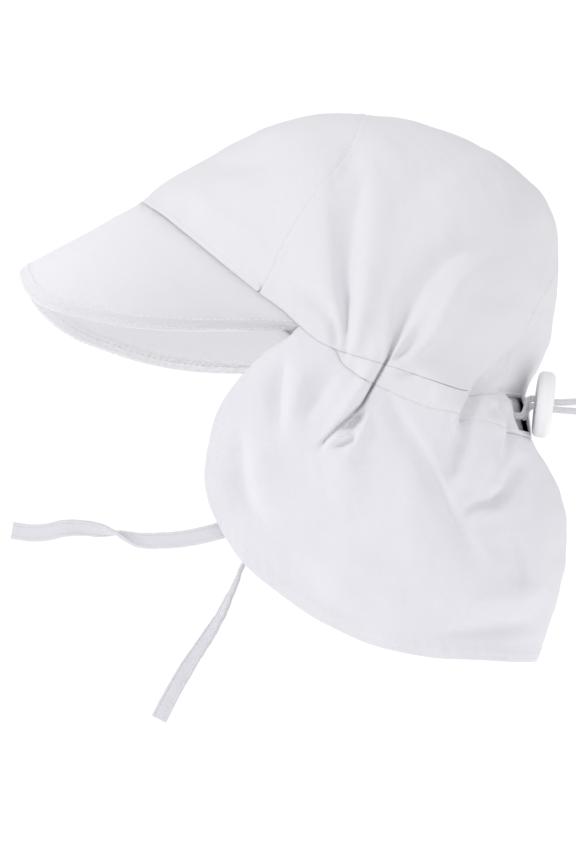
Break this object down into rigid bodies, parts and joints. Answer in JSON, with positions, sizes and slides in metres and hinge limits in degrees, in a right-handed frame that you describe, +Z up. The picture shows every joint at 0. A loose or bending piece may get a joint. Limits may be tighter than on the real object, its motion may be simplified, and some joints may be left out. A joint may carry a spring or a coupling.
{
  "type": "flap sun hat",
  "caption": "Soft cotton sun hat with a bucket crown, a drooping peak, a long neck flap gathered under a drawcord casing, a cord stopper and a pair of tape ties.",
  "frame": {"origin": "middle of the head opening, where the crown, the peak and the flap meet, with the hat held as on a head", "axes": "+X towards the wearer's left, -Y ahead over the peak, +Z up through the crown"},
  "size_m": [0.1436, 0.242, 0.2412],
  "materials": {
    "crown_front": "matte woven cotton",
    "crown_left": "matte woven cotton",
    "crown_right": "matte woven cotton",
    "peak": "matte woven cotton, faced and topstitched",
    "drawstring_casing": "matte woven cotton, gathered",
    "flap": "matte woven cotton, hemmed",
    "tie_left": "matte folded tape",
    "tie_right": "matte folded tape",
    "cord_stopper": "satin disc with a rounded edge",
    "drawcord": "matte braid"
  },
  "bodies": {
    "root": {"crown_front": "crown_front", "crown_left": "crown_left", "crown_right": "crown_right", "peak": "peak", "drawstring_casing": "drawstring_casing", "flap": "flap", "tie_left": "tie_left", "tie_right": "tie_right", "cord_stopper": "cord_stopper", "drawcord": "drawcord"}
  },
  "joints": []
}
